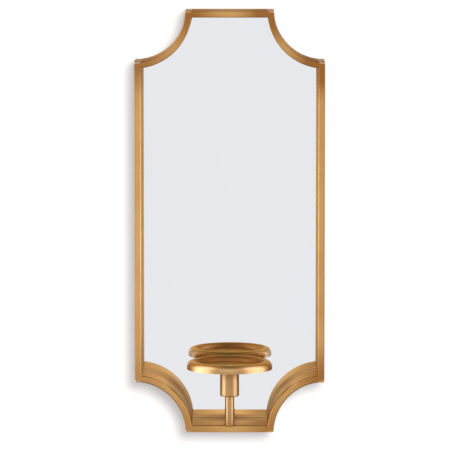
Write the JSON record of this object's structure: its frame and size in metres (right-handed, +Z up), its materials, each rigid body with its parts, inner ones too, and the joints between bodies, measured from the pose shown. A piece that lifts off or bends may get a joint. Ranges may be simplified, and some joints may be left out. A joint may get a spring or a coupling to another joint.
{
  "type": "wall sconce candle holder",
  "caption": "Tall mirrored wall sconce: a deep welded tube frame with concave notched corners, and a round candle pan on a stem in front of the mirror.",
  "frame": {"origin": "midway between the head holes of the two keyhole plates, on the back panel's rear face", "axes": "+Z up, +Y towards the wall, +X to the right as seen from the front; the mirror faces -Y"},
  "size_m": [0.2286, 0.1255, 0.508],
  "materials": {
    "gold_paint": "satin antique gold",
    "cap_gold": "satin antique gold over ground welds",
    "pan_gold": "satin antique gold, brighter polish",
    "mirror": "clear silvered glass",
    "film": "foam adhesive film",
    "board": "black painted fibreboard",
    "zinc": "zinc plated",
    "bumper": "matte rubber"
  },
  "bodies": {
    "frame": {"left_stile": "gold_paint", "right_stile": "gold_paint", "top_rail": "gold_paint", "bottom_rail": "gold_paint", "top_left_arc": "gold_paint", "top_right_arc": "gold_paint", "bottom_left_arc": "gold_paint", "bottom_right_arc": "gold_paint", "left_stile_top_cap": "cap_gold", "left_stile_bottom_cap": "cap_gold", "right_stile_top_cap": "cap_gold", "right_stile_bottom_cap": "cap_gold", "top_left_arc_cap": "cap_gold", "top_right_arc_cap": "cap_gold", "bottom_left_arc_cap": "cap_gold", "bottom_right_arc_cap": "cap_gold", "mirror_glass": "mirror", "adhesive_film": "film", "back_panel": "board", "panel_screws": "zinc", "left_keyhole_plate": "zinc", "right_keyhole_plate": "zinc", "keyhole_screws": "zinc", "top_left_bumper": "bumper", "top_right_bumper": "bumper", "bottom_left_bumper": "bumper", "bottom_right_bumper": "bumper", "stem_rod": "gold_paint"},
    "candle_cup": {"collar": "gold_paint", "candle_pan": "pan_gold", "pan_screw": "zinc"}
  },
  "joints": [
    {"name": "cup_unscrew", "type": "hinge", "parent": "frame", "child": "candle_cup", "pos_m": [0, -0.072, -0.33], "axis": [0, 0, 1], "range_deg": [0, 2790]}
  ]
}
